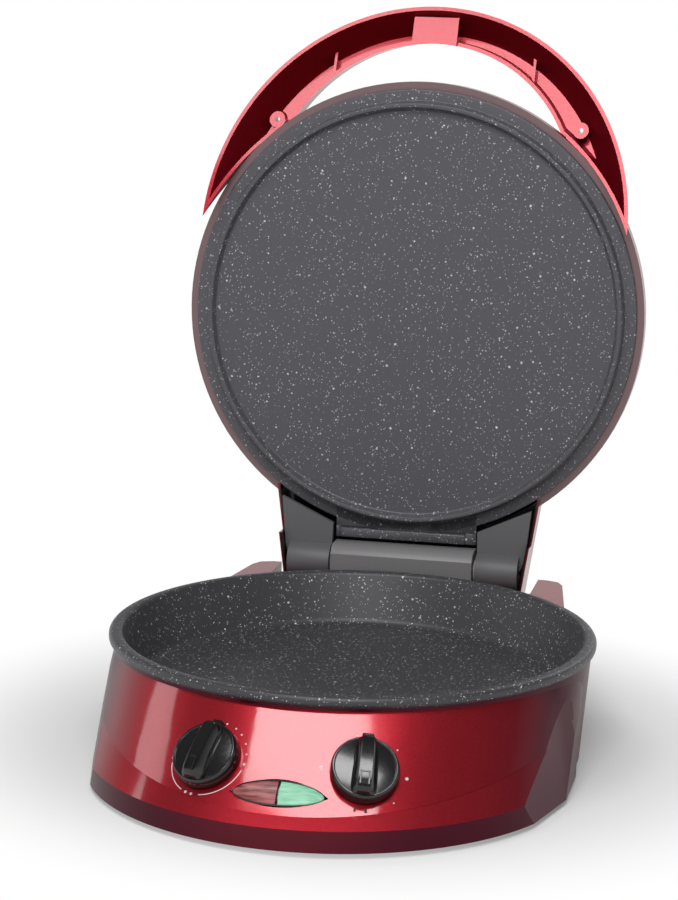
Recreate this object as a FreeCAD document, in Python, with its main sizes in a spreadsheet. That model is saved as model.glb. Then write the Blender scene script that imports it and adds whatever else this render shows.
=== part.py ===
import math
import os

import FreeCAD
import Part
import Sketcher

os.makedirs("parts", exist_ok=True)
doc = FreeCAD.newDocument("PieMaker")
Vec = FreeCAD.Vector

# Driving sizes in millimetres. The origin is on the table under the centre of the whole
# outline with the lid standing open, +Z is up and the controls face -Y. Pieces are drawn about
# the middle of the lower baking dish and carried back by frame_shift when they are named.
SIZES = {
    "rim_z": 74.0, "flange_radius": 157.5, "flange_thick": 7.0,
    "dish_depth": 34.0, "mouth_radius": 149.0, "floor_radius": 136.0,
    "shell_radius": 152.5, "shell_top": 154.6, "shell_foot": 149.0, "shell_wall": 2.4,
    "base_z": 3.5, "frame_shift": 30.673,
    "panel_shift": 58.0, "panel_drop": 57.0, "panel_step": 1.6,
    "skirt_radius": 154.5, "skirt_shift": 58.0,
    "bib_height": 54.6, "bib_slope": 8.92,
    "rear_y": 200.0, "rear_half": 111.5, "rear_mid": 125.0, "shoulder_z": 71.0,
    "slot_half": 93.5, "slot_front": 159.0, "slot_floor": 54.0,
    "hinge_y": 179.8, "hinge_z": 78.8, "hinge_drop": 3.6, "lid_open": 93.0,
    "pin_radius": 3.0, "pin_bore": 3.05, "block_half": 50.5, "block_top": 94.0,
    "barrel_radius": 13.5, "barrel_in": 52.3, "barrel_out": 82.4,
    "bead_radius": 146.1, "bead_height": 6.8, "upper_flange": 156.4, "upper_thick": 3.0,
    "tongue_end": 161.7,
    "recess": 5.0, "lid_radius": 161.5, "lid_height": 72.0, "lid_wall": 2.5,
    "neck_top": 24.6, "neck_front": 94.5, "neck_rear": 84.0, "neck_end": 199.8,
    "handle_radius": 149.0, "handle_centre": 64.5, "grip_radius": 108.0,
    "grip_centre": 79.5, "handle_wall": 2.6, "handle_depth": 28.0, "handle_taper": 19.0,
    "control_x": -3.3, "knob_x": 47.5, "knob_z": 43.5, "knob_radius": 20.8, "shaft_radius": 3.0,
    "lens_half": 27.4, "lens_height": 7.4, "lens_z": 32.5,
    "element_radius": 96.0, "element_tube": 3.2,
}
dims = doc.addObject("Spreadsheet::Sheet", "dims")
for row, (name, value) in enumerate(SIZES.items(), 1):
    dims.set("A%d" % row, name)
    dims.set("B%d" % row, str(value))
    dims.setAlias("B%d" % row, name)
doc.recompute()


def size(name):
    return float(getattr(dims, name))


def bind(item, **links):
    for path, text in links.items():
        item.setExpression(path.replace("__", "."), str(text))
    return item


def tagged(kind, label):
    return doc.addObject(kind, label)


# ---- building blocks -------------------------------------------------------------------
def outline(body, role, points):
    """Closed polygon sketch on an origin plane, every corner tied to the sheet."""
    sketch = body.newObject("Sketcher::SketchObject", body.Name + "Outline")
    plane = [item for item in body.Origin.OriginFeatures if item.Role == role][0]
    sketch.AttachmentSupport = [(plane, "")]
    sketch.MapMode = "FlatFace"
    texts = [(str(a), str(b)) for a, b in points]
    spots = [(float(sketch.evalExpression(a)), float(sketch.evalExpression(b)))
             for a, b in texts]
    count = len(spots)
    for index in range(count):
        start = Vec(*spots[index], 0)
        end = Vec(*spots[(index + 1) % count], 0)
        sketch.addGeometry(Part.LineSegment(start, end), False)
    for index in range(count):
        sketch.addConstraint(Sketcher.Constraint("Coincident", index, 2, (index + 1) % count, 1))
    for index in range(count):
        for kind, axis, part in (("DistanceX", -2, 0), ("DistanceY", -1, 1)):
            if abs(spots[index][part]) < 1e-9:
                sketch.addConstraint(Sketcher.Constraint("PointOnObject", index, 1, axis))
            else:
                rule = Sketcher.Constraint(kind, -1, 1, index, 1, spots[index][part])
                number = sketch.addConstraint(rule)
                sketch.setExpression("Constraints[%d]" % number, texts[index][part])
    return sketch


def turned(label, points):
    """Body turned about Z from (radius, height) corners."""
    body = tagged("PartDesign::Body", label)
    sketch = outline(body, "XZ_Plane", points)
    turn = body.newObject("PartDesign::Revolution", label + "Turn")
    turn.Profile = sketch
    turn.ReferenceAxis = (sketch, ["V_Axis"])
    turn.Angle = 360
    return body


def padded(label, role, points, length, midplane=False):
    """Body padded from an origin plane."""
    body = tagged("PartDesign::Body", label)
    sketch = outline(body, role, points)
    pad = body.newObject("PartDesign::Pad", label + "Pad")
    pad.Profile = sketch
    pad.Midplane = midplane
    pad.setExpression("Length", str(length))
    return body


def box(label, x, y, z):
    item = tagged("Part::Box", label)
    bind(item, Length="(%s) - (%s)" % (x[1], x[0]), Width="(%s) - (%s)" % (y[1], y[0]),
         Height="(%s) - (%s)" % (z[1], z[0]),
         Placement__Base__x=x[0], Placement__Base__y=y[0], Placement__Base__z=z[0])
    return item


def rod(label, radius, length, x=0, y=0, z=0, along="z"):
    item = tagged("Part::Cylinder", label)
    if along == "x":
        item.Placement.Rotation = FreeCAD.Rotation(Vec(0, 1, 0), 90)
    if along == "y":
        item.Placement.Rotation = FreeCAD.Rotation(Vec(1, 0, 0), -90)
    bind(item, Radius=radius, Height=length,
         Placement__Base__x=x, Placement__Base__y=y, Placement__Base__z=z)
    return item


def cone(label, low, high, height, x=0, y=0, z=0):
    item = tagged("Part::Cone", label)
    bind(item, Radius1=low, Radius2=high, Height=height,
         Placement__Base__x=x, Placement__Base__y=y, Placement__Base__z=z)
    return item


def joined(label, items):
    item = tagged("Part::MultiFuse", label)
    item.Shapes = items
    item.Refine = False
    return item


def cut(label, base, tool):
    item = tagged("Part::Cut", label)
    item.Refine = False
    item.Base = base
    item.Tool = tool
    return item


def common(label, first, second):
    item = tagged("Part::Common", label)
    item.Refine = False
    item.Base = first
    item.Tool = second
    return item


def group(label, items):
    """Several identical separate pieces that share one node."""
    item = tagged("Part::Compound", label)
    item.Links = items
    return item


SEAM_BACK = FreeCAD.Rotation(Vec(0, 0, 1), 90)


def leaning(label, radius, top):
    """Oblique cylinder that leans forward from the rim down to the skirt."""
    ring = tagged("Part::Circle", label + "Ring")
    ring.Placement.Rotation = SEAM_BACK
    bind(ring, Radius=radius, Placement__Base__y="-dims.panel_shift",
         Placement__Base__z="dims.rim_z - dims.panel_drop")
    item = tagged("Part::Extrusion", label)
    item.Base = ring
    item.DirMode = "Custom"
    item.Dir = Vec(0, size("panel_shift"), size("panel_drop"))
    item.Solid = True
    slant = math.hypot(size("panel_shift"), size("panel_drop")) / size("panel_drop")
    bind(item, LengthFwd="(%s - dims.rim_z + dims.panel_drop) * %.5f" % (top, slant))
    return item


nodes = []


def node(item, label):
    """Name a finished piece and carry it into the part's own frame."""
    moved = group(label + "Moved", [item])
    bind(moved, Placement__Base__y="-dims.frame_shift")
    moved.Label = label
    nodes.append(moved)
    return item


# ---- base housing ----------------------------------------------------------------------
SKIRT_Z = "(dims.rim_z - dims.panel_drop)"
# Side walls as planes: x at the origin, and how x grows with y and with z.
SIDE_WALLS = ((172.6, 0.2637, -0.1865), (151.6, 0.0, 0.02))


def sided(label, mass, inset):
    """Trim the leaning front to the toed-in side walls, the same on left and right."""
    for side in (-1, 1):
        for n, (start, toe, lean) in enumerate(SIDE_WALLS):
            out = Vec(side, -toe, -lean).normalize()
            along = Vec(side * toe, 1, 0).normalize()
            turn = FreeCAD.Rotation(out, along, out.cross(along), "XYZ")
            tool = tagged("Part::Box", "%sSide%s%d" % (label, "L" if side < 0 else "R", n))
            bind(tool, Length="60", Width="400", Height="300")
            corner = Vec(side * start, 0, 0) - out * inset + turn.multVec(Vec(0, -200, -150))
            tool.Placement = FreeCAD.Placement(corner, turn)
            mass = cut("%sTrim%s%d" % (label, "L" if side < 0 else "R", n), mass, tool)
    return mass


def foot_solid(label, inset, front_extra=()):
    """Round drum, leaning lower front, skirt and rear housing, all set in by one distance."""
    drum = cone(label + "Drum", "dims.shell_foot - %s" % inset, "dims.shell_top - %s" % inset,
                "dims.rim_z - dims.base_z", z="dims.base_z")
    front = leaning(label + "Front", "dims.shell_radius - dims.panel_step - %s" % inset,
                    "dims.rim_z - 1 - 1.4 * %s" % inset)
    skirt = rod(label + "Skirt", "dims.skirt_radius - %s" % inset, SKIRT_Z + " - dims.base_z",
                y="-dims.skirt_shift", z="dims.base_z")
    for item in (drum, skirt):
        item.Placement.Rotation = SEAM_BACK
    low = sided(label, joined(label + "Low", [front, skirt] + list(front_extra)), inset)
    rear = padded(label + "Rear", "XY_Plane", [
        ("-dims.rear_half + 12 + 0.6 * %s" % inset, "dims.rear_y - %s" % inset),
        ("-dims.rear_half + 3.4 + 0.9 * %s" % inset, "dims.rear_y - 3.4 - 0.9 * %s" % inset),
        ("-dims.rear_half - 0.8 + %s" % inset, "dims.rear_y - 12"),
        ("-dims.rear_mid + %s" % inset, "105"),
        ("-138 + %s" % inset, "40"),
        ("-100", "0"),
        ("100", "0"),
        ("138 - %s" % inset, "40"),
        ("dims.rear_mid - %s" % inset, "105"),
        ("dims.rear_half + 0.8 - %s" % inset, "dims.rear_y - 12"),
        ("dims.rear_half - 3.4 - 0.9 * %s" % inset, "dims.rear_y - 3.4 - 0.9 * %s" % inset),
        ("dims.rear_half - 12 - 0.6 * %s" % inset, "dims.rear_y - %s" % inset)],
        "dims.shoulder_z - dims.base_z - %s" % inset)
    bind(rear, Placement__Base__z="dims.base_z")
    return joined(label, [drum, low, rear])


def knob_frame(side):
    """Placement on the sloping panel with local +Z along the control's shaft."""
    drop = size("rim_z") - size("knob_z")
    shift = -size("panel_shift") * drop / size("panel_drop")
    x = size("control_x") + side * size("knob_x")
    y = shift - math.sqrt(size("shell_radius") ** 2 - x ** 2)
    turn = FreeCAD.Rotation(Vec(0, 0, 1), side * 17.0)
    turn = turn.multiply(FreeCAD.Rotation(Vec(1, 0, 0), 45.0))
    return FreeCAD.Placement(Vec(x, y, size("knob_z")), turn)


def lens_frame():
    drop = size("rim_z") - size("lens_z")
    y = -size("panel_shift") * drop / size("panel_drop") - size("shell_radius")
    turn = FreeCAD.Rotation(Vec(1, 0, 0), 45.0)
    return FreeCAD.Placement(Vec(size("control_x"), y, size("lens_z")), turn)


def panel_solid(label, grow):
    return leaning(label, "dims.shell_radius + %s" % grow, "dims.rim_z")


def almond(label, grow, length):
    """Pointed oval prism, local +Z out of the panel."""
    half = size("lens_half") + 1.3 * grow
    high = size("lens_height") + grow
    radius = (half ** 2 + high ** 2) / (2 * high)
    upper = rod(label + "Upper", radius, length, y=-(radius - high), z=-length / 2)
    lower = rod(label + "Lower", radius, length, y=radius - high, z=-length / 2)
    item = common(label, upper, lower)
    item.Placement = lens_frame()
    return item


# The upper front is one leaning cylinder, trimmed along a slanting plane into a bib. A flatter
# band joins the bib's edge, which is an ellipse in that plane, to the top of the skirt.
bib_under = tagged("Part::Box", "BibUnder")
bind(bib_under, Length="400", Width="600", Height="100")
bib_turn = FreeCAD.Rotation(Vec(1, 0, 0), size("bib_slope"))
bib_under.Placement = FreeCAD.Placement(
    Vec(0, 0, size("bib_height")) + bib_turn.multVec(Vec(-200, -300, -100)), bib_turn)
bib = cut("Bib", panel_solid("PanelLean", "0"), bib_under)
STEEP = "(dims.panel_shift / dims.panel_drop)"
SLOPE = "tan(dims.bib_slope * 1 deg)"
MIDDLE = "(-%s * (dims.rim_z - dims.bib_height - 0.8) / (1 - %s * %s))" % (STEEP, STEEP, SLOPE)
band_top = tagged("Part::Ellipse", "BandTop")
band_top.Placement.Rotation = bib_turn.multiply(FreeCAD.Rotation(Vec(0, 0, 1), -90))
bind(band_top, MajorRadius="(dims.shell_radius - 0.5) / (1 - %s * %s) / cos(dims.bib_slope * 1 deg)"
     % (STEEP, SLOPE), MinorRadius="dims.shell_radius - 0.5", Placement__Base__y=MIDDLE,
     Placement__Base__z="dims.bib_height + 0.8 + %s * %s" % (SLOPE, MIDDLE))
band_foot = tagged("Part::Circle", "BandFoot")
band_foot.Placement.Rotation = FreeCAD.Rotation(Vec(0, 0, 1), -90)
bind(band_foot, Radius="dims.skirt_radius", Placement__Base__y="-dims.skirt_shift",
     Placement__Base__z=SKIRT_Z)
band_loft = tagged("Part::Loft", "BandLoft")
band_loft.Sections = [band_foot, band_top]
band_loft.Solid = True
band_loft.Ruled = True
band = common("Band", band_loft, box("BandZone", ("-200", "200"), ("-300", "-8"), ("0", "60")))
outer = foot_solid("OuterFoot", 0, [bib, band])
hollow = foot_solid("HollowFoot", 2.6)
hollow_low = joined("HollowLow", [hollow, rod("FloorHole", "dims.shell_foot - 2.6",
                                              "2", z="dims.base_z - 1"),
                                  rod("FrontFloorHole", "dims.skirt_radius - 22", "2",
                                      y="-dims.skirt_shift + 8", z="dims.base_z - 1")])
mouth = rod("MouthHole", "dims.shell_radius - dims.shell_wall", "30", z="dims.rim_z - 12")
shell_skin = cut("ShellSkin", outer, joined("HollowAll", [hollow_low, mouth]))
slot_block = box("SlotBlock", ("-dims.slot_half - 2.5", "dims.slot_half + 2.5"),
                 ("dims.slot_front - 2.5", "dims.rear_y - 0.5"),
                 ("dims.slot_floor - 2.5", "dims.shoulder_z - 0.5"))
slot_box = box("SlotBox", ("-dims.slot_half", "dims.slot_half"),
               ("dims.slot_front", "dims.rear_y + 10"), ("dims.slot_floor", "100"))
shaft_holes = []
for side, tag in ((-1, "Left"), (1, "Right")):
    hole = rod(tag + "ShaftHole", 5.0, 24, z=-14)
    shell = group(tag + "ShaftTool", [hole])
    shell.Placement = knob_frame(side)
    shaft_holes.append(shell)
gland_hole = rod("GlandHole", "8.2", "20", x="80", y="dims.rear_y - 10", z="24", along="y")
shell_all = joined("ShellAll", [shell_skin, slot_block])
base_shell = node(cut("BaseShell", shell_all, joined("ShellTools", [
    slot_box, almond("LensHole", 1.9, 30.0), gland_hole] + shaft_holes + [
        rod("HingeScrewHole%d" % n, 2.2, 8, x=px, y=179.5, z="dims.slot_floor - 5")
        for n, px in enumerate((-35, 35))])), "base_shell")

# ---- floor pan, feet and screws --------------------------------------------------------
cover_mass = foot_solid("CoverFoot", 2.9)
cover_slab = box("CoverSlab", ("-200", "200"), ("-230", "230"), ("dims.base_z", "dims.base_z + 2.6"))
cover_flat = common("CoverFlat", cover_mass, cover_slab)
vents = [box("Vent%d" % n, ("-30", "30"), ("%d" % (n * 12 - 40), "%d" % (n * 12 - 36)), ("0", "10"))
         for n in range(7)]
SPOTS = ((-100, 60), (100, 60), (-95, -95), (95, -95))
screw_holes = [rod("CoverHole%d" % n, 2.2, 10, x=px, y=py) for n, (px, py) in enumerate(SPOTS)]
node(cut("BottomCover", cover_flat, joined("CoverTools", vents + screw_holes)), "bottom_cover")
FEET = ((-92, 120), (92, 120), (-105, -130), (105, -130))
node(group("Feet", [cone("Foot%d" % n, 9.5, 10.5, "dims.base_z", x=px, y=py)
                    for n, (px, py) in enumerate(FEET)]), "rubber_feet")


def screw(label, x, y, z, length, up=True):
    """Pan-head screw, head at z, shank towards +Z (or -Z)."""
    head = rod(label + "Head", 3.6, 2.0, x=x, y=y, z="%s - 2" % z if up else z)
    shank = rod(label + "Shank", 1.9, length, x=x, y=y,
                z=z if up else "(%s) - %s" % (z, length))
    return joined(label, [head, shank])


node(group("CoverScrews", [screw("CoverScrew%d" % n, px, py, "dims.base_z", 14)
                           for n, (px, py) in enumerate(SPOTS)]), "cover_screws")
sockets = []
for n, (px, py) in enumerate(SPOTS):
    post = rod("Socket%d" % n, 5, 22, x=px, y=py, z="dims.base_z + 2.6")
    sockets.append(cut("SocketCut%d" % n, post,
                       rod("SocketBore%d" % n, 2.0, 14, x=px, y=py, z="dims.base_z + 1")))
node(group("ReflectorPosts", sockets), "reflector_posts")

# ---- lower baking dish and its heater --------------------------------------------------
TOP = "dims.rim_z + dims.flange_thick"
FLOOR = "(dims.rim_z + dims.flange_thick - dims.dish_depth)"
node(turned("LowerPlate", [
    (0, FLOOR + " - 3"), ("dims.floor_radius + 2.2", FLOOR + " - 3"),
    ("dims.floor_radius + 4.4", FLOOR + " - 0.5"),
    ("dims.mouth_radius + 0.5", "dims.rim_z - 0.2"), ("dims.mouth_radius + 0.5", "dims.rim_z"),
    ("dims.flange_radius - 2.4", "dims.rim_z"), ("dims.flange_radius - 0.6", "dims.rim_z + 0.9"),
    ("dims.flange_radius", "dims.rim_z + 2.6"), ("dims.flange_radius - 0.2", "dims.rim_z + 5"),
    ("dims.flange_radius - 1.2", "dims.rim_z + 6.4"), ("dims.flange_radius - 2.8", TOP),
    ("dims.mouth_radius + 2.6", TOP), ("dims.mouth_radius + 1", TOP + " - 0.6"),
    ("dims.mouth_radius", TOP + " - 2.4"), ("dims.floor_radius + 1.6", FLOOR + " + 3.4"),
    ("dims.floor_radius - 0.2", FLOOR + " + 1"), ("dims.floor_radius - 3.2", FLOOR),
    (0, FLOOR)]), "lower_baking_plate")


def heater(label, z):
    ring = tagged("Part::Torus", label + "Ring")
    bind(ring, Radius1="dims.element_radius", Radius2="dims.element_tube", Placement__Base__z=z)
    gap = box(label + "Gap", ("-9", "9"), ("dims.element_radius - 8", "dims.element_radius + 8"),
              ("%s - 6" % z, "%s + 6" % z))
    open_ring = cut(label + "Open", ring, gap)
    tails = [rod("%sTail%d" % (label, n), "dims.element_tube - 0.4", "16", x=px,
                 y="dims.element_radius - 0.4", z=z, along="y")
             for n, px in enumerate(("-9.4", "9.4"))]
    return joined(label, [open_ring] + tails)


node(heater("LowerHeater", "(%s - 3.2 - dims.element_tube)" % FLOOR), "lower_heating_element")
pan = turned("LowerReflector", [
    (0, 28.5), (124, 28.5), (130, 36), (134, 36), (134, 37), (129.4, 37), (123.4, 29.5), (0, 29.5)])
node(pan, "lower_reflector")
PILLARS = ((-60, 34), (60, 34), (0, -69))
node(group("PlateSpacers", [rod("PlateSpacer%d" % n, 5, "%s - 3 - 29.5" % FLOOR, x=px, y=py, z=29.5)
                            for n, (px, py) in enumerate(PILLARS)]), "plate_spacers")
node(group("StandPosts", [rod("StandPost%d" % n, 6, "28.5 - dims.base_z - 2.6", x=px, y=py,
                              z="dims.base_z + 2.6")
                          for n, (px, py) in enumerate(((-60, 60), (60, 60), (60, -60), (-60, -60)))]),
     "support_posts")

# ---- controls --------------------------------------------------------------------------
def on_panel(item, side, label):
    item.Placement = knob_frame(side)
    return node(item, label)


timer_case = joined("TimerCase", [box("TimerBox", (-20, 20), (-20, 20), (-31, -8.5)),
                                  rod("TimerNeck", 7, 1.5, z=-8.5)])
timer_bore = cut("TimerBored", timer_case, rod("TimerBore", "dims.shaft_radius + 0.05", 20, z=-22))
on_panel(timer_bore, -1, "timer_mechanism")
bell = cut("Bell", rod("BellCup", 12.5, 6, z=-37.3), rod("BellHollow", 11.3, 5, z=-36.1))
bell_all = joined("BellAll", [bell, rod("BellPost", 2.4, 5, z=-36.2)])
on_panel(bell_all, -1, "timer_bell")
stat_case = joined("StatCase", [rod("StatBody", 16, 15, z=-24), box("StatFoot", (-15, 15), (-9, 9),
                                                                    (-9, -7.5))])
stat_bore = cut("StatBored", stat_case, rod("StatBore", "dims.shaft_radius + 0.05", 20, z=-20))
on_panel(stat_bore, 1, "thermostat")


def knob(label):
    """Round knob with a raised finger bar, undercut at the back, bored for its shaft."""
    disc = cone(label + "Disc", "dims.knob_radius", "dims.knob_radius - 1", 9, z=0.9)
    bar = padded(label + "Bar", "XY_Plane", [
        (-5.5, "-dims.knob_radius + 2.4"), (5.5, "-dims.knob_radius + 2.4"),
        (4.6, "dims.knob_radius - 2.4"), (-4.6, "dims.knob_radius - 2.4")], 7.5)
    bind(bar, Placement__Base__z=9.4)
    tip = padded(label + "Tip", "XY_Plane", [(-2.6, "dims.knob_radius - 3"), (2.6, "dims.knob_radius - 3"),
                                             (1.6, "dims.knob_radius + 2"),
                                             (-1.6, "dims.knob_radius + 2")], 5)
    bind(tip, Placement__Base__z=1.2)
    whole = joined(label + "Whole", [disc, bar, tip])
    return cut(label, whole, rod(label + "Bore", "dims.shaft_radius", 12, z=0))


for side, tag, turn in ((-1, "timer", -27.0), (1, "thermostat", 0.0)):
    spin = FreeCAD.Placement(Vec(), FreeCAD.Rotation(Vec(0, 0, 1), turn))
    cap = node(knob(tag.title() + "Knob"), tag + "_knob")
    cap.Placement = knob_frame(side).multiply(spin)
    spindle = rod(tag.title() + "Spindle", "dims.shaft_radius", 31.6, z=-20)
    on_panel(group(tag.title() + "Shaft", [spindle]), side, tag + "_shaft")

# Indicator window: bezel and two lenses follow the curve of the panel.
skin = panel_solid("LensSkin", 1.0)
lens_mass = common("LensMass", almond("LensCore", 0.0, 10.0), skin)
half_red = box("HalfRed", ("-60", "dims.control_x - 0.6"), ("-260", "-100"), ("0", "80"))
half_green = box("HalfGreen", ("dims.control_x + 0.6", "60"), ("-260", "-100"), ("0", "80"))
node(common("RedLens", lens_mass, half_red), "power_lens")
node(common("GreenLens", common("LensMassGreen", almond("LensCoreGreen", 0.0, 10.0), skin),
            half_green), "ready_lens")
bezel_mass = common("BezelMass", almond("BezelOut", 1.6, 10.0), panel_solid("BezelSkin", 0.6))
bezel_open = cut("BezelOpen", bezel_mass, joined("BezelTools", [
    cut("BezelBar", almond("BezelIn", 0.05, 30.0),
        box("BezelWeb", ("dims.control_x - 0.55", "dims.control_x + 0.55"), ("-260", "-100"),
            ("0", "80")))]))
node(bezel_open, "indicator_bezel")
lamps = []
for n, px in enumerate((-10, 10)):
    bulb = joined("Lamp%d" % n, [rod("LampTube%d" % n, 3, 10, x=px, z=-17),
                                 rod("LampBase%d" % n, 3.6, 4, x=px, z=-21)])
    bulb.Placement = lens_frame()
    lamps.append(bulb)
node(group("Lamps", lamps), "neon_lamps")
holder = cut("LampHolder", box("HolderBlock", (-18, 18), (-6, 6), (-24, -13)),
             joined("HolderBores", [rod("HolderBore%d" % n, 3.8, 14, x=px, z=-25)
                                    for n, px in enumerate((-10, 10))]))
holder.Placement = lens_frame()
node(holder, "lamp_holder")
node(box("TerminalBlock", ("-24", "24"), ("120", "136"), ("dims.base_z + 2.6", "dims.base_z + 16")),
     "terminal_block")
gland = joined("Gland", [rod("GlandBody", 8, 14, x=80, y="dims.rear_y - 9", z=24, along="y"),
                         rod("GlandFlange", 10.5, 3, x=80, y="dims.rear_y", z=24, along="y")])
node(cut("CableGland", gland, rod("GlandBore", 3.4, 30, x=80, y="dims.rear_y - 12", z=24, along="y")),
     "cable_gland")

# ---- hinge -----------------------------------------------------------------------------
block = padded("HingeMass", "YZ_Plane", [
    (165.5, "dims.slot_floor"), (194.2, "dims.slot_floor"), (194.2, "dims.block_top - 6"),
    (191.5, "dims.block_top - 2"), (187, "dims.block_top"), (172.5, "dims.block_top"),
    (168.5, "dims.block_top - 1.8"), (165.5, "dims.block_top - 5.8")], "2 * dims.block_half", True)
bore = rod("HingeBore", "dims.pin_bore", "120", x="-60", y="dims.hinge_y", z="dims.hinge_z", along="x")
taps = [rod("HingeTap%d" % n, 2.0, 14, x=px, y=179.5, z="dims.slot_floor - 1")
        for n, px in enumerate((-35, 35))]
node(cut("HingeBlock", block, joined("HingeBores", [bore] + taps)), "hinge_block")
node(rod("HingePin", "dims.pin_radius", "2 * dims.barrel_out - 4", x="-dims.barrel_out + 2",
         y="dims.hinge_y", z="dims.hinge_z", along="x"), "hinge_pin")
washers = []
for n, px in enumerate(("-dims.block_half - 1.5", "dims.block_half + 0.3")):
    ring = rod("WasherDisc%d" % n, 8.5, 1.2, x=px, y="dims.hinge_y", z="dims.hinge_z", along="x")
    washers.append(cut("Washer%d" % n, ring, bore))
node(group("Washers", washers), "hinge_washers")
node(group("HingeScrews", [screw("HingeScrew%d" % n, px, 179.5, "dims.slot_floor - 2.5", 12)
                           for n, px in enumerate((-35, 35))]), "hinge_screws")


# ---- lid: built shut, with its centre in the plane of the bead, then swung open ----------
def on_lid(item, label):
    item.Placement.Rotation = FreeCAD.Rotation(Vec(1, 0, 0), -size("lid_open"))
    swing = "dims.lid_open * 1 deg"
    bind(item,
         Placement__Base__y="dims.hinge_y - dims.hinge_y * cos(%s) - dims.hinge_drop * sin(%s)"
         % (swing, swing),
         Placement__Base__z="dims.hinge_z + dims.hinge_y * sin(%s) - dims.hinge_drop * cos(%s)"
         % (swing, swing))
    return node(item, label)


BACK = "(dims.bead_height + dims.upper_thick)"
bead = turned("UpperPlateDisc", [
    (0, "dims.recess"), ("dims.bead_radius - 3.9", "dims.recess"),
    ("dims.bead_radius - 2.2", 0.9), ("dims.bead_radius - 1.2", 0.2), ("dims.bead_radius", 0),
    ("dims.bead_radius + 1", 0.5), ("dims.bead_radius + 1.7", 2),
    ("dims.bead_radius + 2.5", "dims.bead_height"),
    ("dims.upper_flange - 0.6", "dims.bead_height"), ("dims.upper_flange", "dims.bead_height + 0.8"),
    ("dims.upper_flange", BACK), ("dims.bead_radius", BACK),
    ("dims.bead_radius - 4", "dims.recess + 3.4"), (0, "dims.recess + 3.4")])
tongue = padded("UpperPlateTongue", "XY_Plane", [
    (-50.5, 130), (50.5, 130), (50.5, "dims.tongue_end"), (-50.5, "dims.tongue_end")],
    "dims.upper_thick")
bind(tongue, Placement__Base__z="dims.bead_height")
tongue_trim = cut("TongueTrim", tongue, rod("TongueHole", "dims.upper_flange - 2", 30))
rail = box("TongueRail", (-47, 42.5), (155.2, "dims.tongue_end"),
           ("dims.bead_height - 0.7", "dims.bead_height + 1"))
groove = box("TongueGroove", (-47, 42.5), (153.8, 155.2),
             ("dims.bead_height - 1", "dims.bead_height + 1.2"))
on_lid(cut("UpperPlate", joined("UpperPlateMass", [bead, tongue_trim, rail]), groove),
       "upper_baking_plate")

dome = turned("DomeMass", [
    (0, 10), ("dims.lid_radius", 10), ("dims.lid_radius", 22), ("dims.lid_radius - 2.4", 38.9),
    ("dims.lid_radius - 8", 51.5), ("dims.lid_radius - 20", 61.2), ("dims.lid_radius - 44", 68),
    ("dims.lid_radius - 80", 71.2), (0, "dims.lid_height")])
dome_in = turned("DomeHollow", [
    (0, 8), ("dims.upper_flange - 6", 8), ("dims.upper_flange - 6", 12.6),
    ("dims.lid_radius - dims.lid_wall", 12.6), ("dims.lid_radius - dims.lid_wall", 22),
    ("dims.lid_radius - 4.8", 38.1), ("dims.lid_radius - 10", 49.7), ("dims.lid_radius - 21.2", 58.4),
    ("dims.lid_radius - 44.6", 65), ("dims.lid_radius - 80", 68.2), (0, "dims.lid_height - 2.7")])


def neck(label, inset, low, high):
    body = padded(label, "XY_Plane", [
        ("-dims.neck_front + %s" % inset, 127), ("dims.neck_front - %s" % inset, 127),
        ("dims.neck_rear - %s" % inset, "dims.neck_end - %s" % inset),
        ("-dims.neck_rear + %s" % inset, "dims.neck_end - %s" % inset)], "(%s) - (%s)" % (high, low))
    bind(body, Placement__Base__z=low)
    return body


arms = common("NeckArms", neck("ArmMass", 0, "-4.4", "9"), box("ArmZone", (-120, 120), (159.5, 210),
                                                              (-10, 12)))
lid_mass = joined("LidMass", [dome, neck("NeckMass", 0, "8", "dims.neck_top"), arms])
lid_holes = joined("LidHoles", [
    dome_in, neck("NeckHollow", 2.0, "-12", "dims.neck_top - 2.5"),
    box("HingeNotch", (-51.5, 51.5), (161.2, 220), (-20, 22.2))])
on_lid(cut("LidShell", lid_mass, lid_holes), "lid_shell")

# The hinge covers: a slanted tongue and a barrel on each side of the centre block.
for side, tag in ((-1, "left"), (1, "right")):
    tab = padded("Cover" + tag, "XY_Plane", [
        (side * 51.9, 151.6), (side * 89.4, 134.2), (side * 86.0, 168.7),
        ("%d * dims.barrel_out" % side, "dims.hinge_y"), ("%d * dims.barrel_in" % side, "dims.hinge_y"),
        ("%d * dims.barrel_in" % side, 168.7)], 5)
    bind(tab, Placement__Base__z=2)
    low_x = "dims.barrel_in" if side > 0 else "-dims.barrel_out"
    barrel = rod("Barrel" + tag, "dims.barrel_radius", "dims.barrel_out - dims.barrel_in", x=low_x,
                 y="dims.hinge_y", z="dims.hinge_drop", along="x")
    hole = rod("BarrelBore" + tag, "dims.pin_bore", "dims.barrel_out - dims.barrel_in + 2",
               x=low_x + " - 1", y="dims.hinge_y", z="dims.hinge_drop", along="x")
    on_lid(cut("Knuckle" + tag, joined("KnuckleMass" + tag, [tab, barrel]), hole),
           "hinge_cover_" + tag)

# Handle: a crescent trough that rises from the lid's sides to a grip in front of the dome. Its
# near rim lies in a plane that leans back, its outer wall slopes in and its floor is parallel.
RISE = 0.48
LEAN = math.degrees(math.atan(RISE))


def rim_height(centre, depth):
    return "12 + %s * (dims.%s - 115) + %s" % (RISE, centre, depth)


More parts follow.
